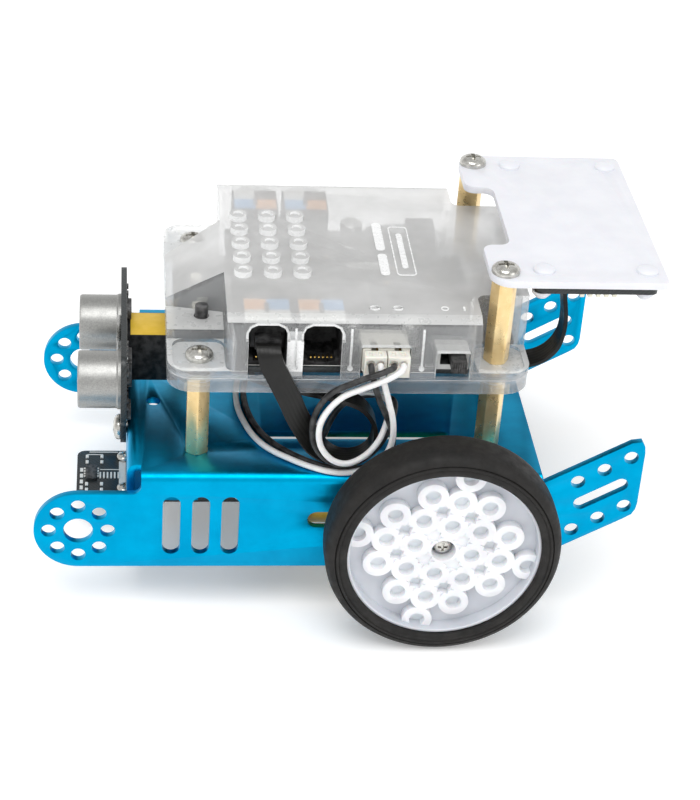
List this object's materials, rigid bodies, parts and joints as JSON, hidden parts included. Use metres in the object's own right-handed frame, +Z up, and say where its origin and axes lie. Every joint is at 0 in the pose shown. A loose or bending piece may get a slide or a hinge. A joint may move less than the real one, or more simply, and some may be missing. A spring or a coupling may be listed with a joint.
{
  "type": "two wheel robot car",
  "caption": "Small two-wheeled robot car: folded blue metal chassis on two geared motors and a ball caster, clear-cased controller on posts, front distance sensor, rear display plate.",
  "frame": {"origin": "on the floor, under the middle of the whole car", "axes": "+X forwards, towards the distance sensor and the caster; +Y to the car's left; +Z up"},
  "size_m": [0.1674, 0.1328, 0.103],
  "materials": {
    "blue_sheet": "blue anodised aluminium sheet, fine satin grain",
    "motor_yellow": "yellow moulded gearbox with a steel motor can",
    "shaft_white": "white moulded shaft",
    "hub_white": "translucent white moulding",
    "tyre": "soft black rubber with a fine tread",
    "brass": "turned hexagonal brass",
    "steel": "nickel plated, polished",
    "black_plastic": "black moulding",
    "clear_plastic": "clear moulding with a light frost",
    "circuit_board": "black solder mask with white print",
    "white_plastic": "white moulding",
    "black_cable": "black flexible insulation",
    "white_lead": "white flexible insulation",
    "can_metal": "spun aluminium with a mesh front",
    "caster_white": "white moulding",
    "pack_blue": "shrink film over cells"
  },
  "bodies": {
    "car": {"battery_pack": "pack_blue", "case_cover": "clear_plastic", "case_tray": "clear_plastic", "caster_housing": "caster_white", "chassis": "blue_sheet", "display_board": "circuit_board", "display_bracket": "white_plastic", "display_cable": "black_cable", "display_cable_case_plug": "black_plastic", "display_cable_display_plug": "black_plastic", "front_motor_plug": "white_plastic", "left_bracket_screw": "steel", "left_case_screw": "steel", "left_caster_screw": "steel", "left_front_jack": "black_plastic", "left_front_rivet": "white_plastic", "left_front_standoff": "brass", "left_gear_motor": "motor_yellow", "left_motor_black_lead": "black_cable", "left_motor_white_lead": "white_lead", "left_rear_jack": "black_plastic", "left_rear_rivet": "white_plastic", "left_rear_standoff": "brass", "left_sensor_screw": "steel", "left_sound_can": "can_metal", "left_upper_standoff": "brass", "line_board": "circuit_board", "main_board": "circuit_board", "rear_motor_plug": "white_plastic", "right_bracket_screw": "steel", "right_case_screw": "steel", "right_caster_screw": "steel", "right_front_jack": "black_plastic", "right_front_rivet": "white_plastic", "right_front_standoff": "brass", "right_gear_motor": "motor_yellow", "right_motor_black_lead": "black_cable", "right_motor_white_lead": "white_lead", "right_rear_jack": "black_plastic", "right_rear_rivet": "white_plastic", "right_rear_standoff": "brass", "right_sensor_screw": "steel", "right_sound_can": "can_metal", "right_upper_standoff": "brass", "sensor_board": "circuit_board", "sensor_cable": "black_cable", "sensor_cable_case_plug": "black_plastic", "sensor_cable_sensor_plug": "black_plastic", "sensor_jack": "black_plastic"},
    "left_wheel": {"left_output_shaft": "shaft_white", "left_hub": "hub_white", "left_tyre": "tyre", "left_hub_screw": "steel"},
    "right_wheel": {"right_output_shaft": "shaft_white", "right_hub": "hub_white", "right_tyre": "tyre", "right_hub_screw": "steel"},
    "caster_ball": {"caster_ball": "steel"},
    "power_switch": {"switch_knob": "black_plastic"},
    "push_button": {"button_cap": "black_plastic"}
  },
  "joints": [
    {"name": "left_wheel_spin", "type": "hinge", "parent": "car", "child": "left_wheel", "pos_m": [-0.0259, 0.0594, 0.032], "axis": [0, 1, 0], "continuous": true},
    {"name": "right_wheel_spin", "type": "hinge", "parent": "car", "child": "right_wheel", "pos_m": [-0.0259, -0.0594, 0.032], "axis": [0, 1, 0], "continuous": true},
    {"name": "caster_roll", "type": "hinge", "parent": "car", "child": "caster_ball", "pos_m": [0.0591, 0, 0.005], "axis": [0, 1, 0], "continuous": true},
    {"name": "power_switch_slide", "type": "slide", "parent": "car", "child": "power_switch", "axis": [1, 0, 0], "range_m": [0, 0.0026]},
    {"name": "push_button_press", "type": "slide", "parent": "car", "child": "push_button", "axis": [0, 0, -1], "range_m": [0, 0.0004], "stiffness_N_per_m": 1500}
  ]
}
